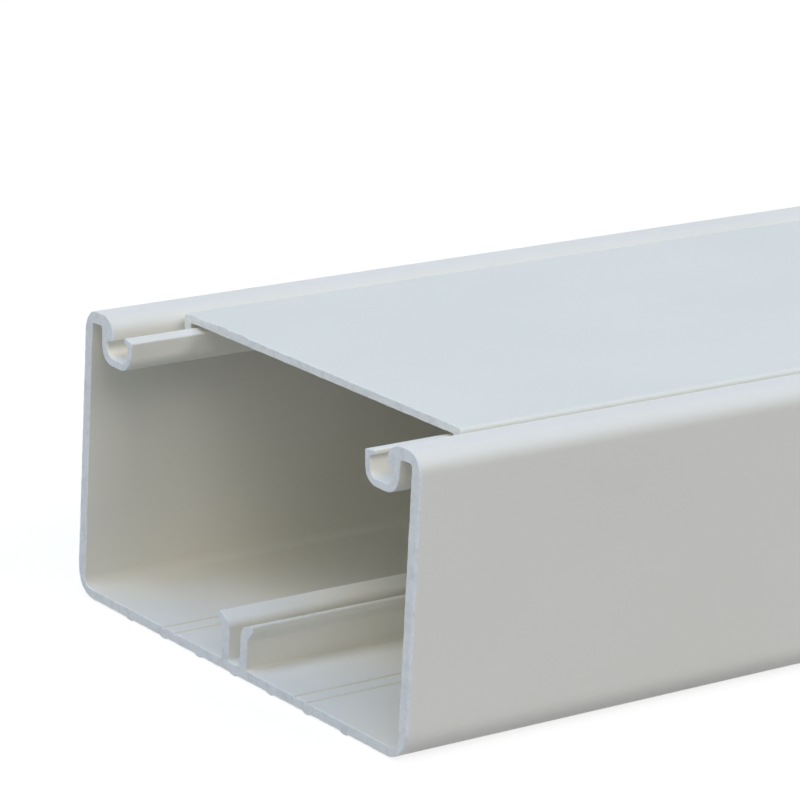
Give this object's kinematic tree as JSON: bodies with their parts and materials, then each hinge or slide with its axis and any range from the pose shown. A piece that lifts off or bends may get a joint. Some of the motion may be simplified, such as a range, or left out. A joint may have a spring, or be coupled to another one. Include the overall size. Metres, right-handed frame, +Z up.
{
  "type": "cable trunking with lid",
  "caption": "Plastic cable trunking: an extruded channel with rolled edges, snap hooks and divider ribs, and a flat cover strip whose barbed legs slide along the hooks.",
  "frame": {"origin": "middle of the channel's length and width, on the plane of the ridge crests that the underside stands on", "axes": "+X along the length, away from the end that the lid is set back from; +Y across the width; +Z up, from the floor of the channel to the lid"},
  "size_m": [2.0164, 0.11, 0.06],
  "materials": {
    "channel_pvc": "satin, as extruded, with sawn ends",
    "lid_pvc": "satin, as extruded, with sawn ends"
  },
  "bodies": {
    "channel": {"base_channel": "channel_pvc"},
    "cover": {"lid": "lid_pvc"}
  },
  "joints": [
    {"name": "lid_slide", "type": "slide", "parent": "channel", "child": "cover", "axis": [1, 0, 0], "range_m": [-0.0164, 0.5]}
  ]
}
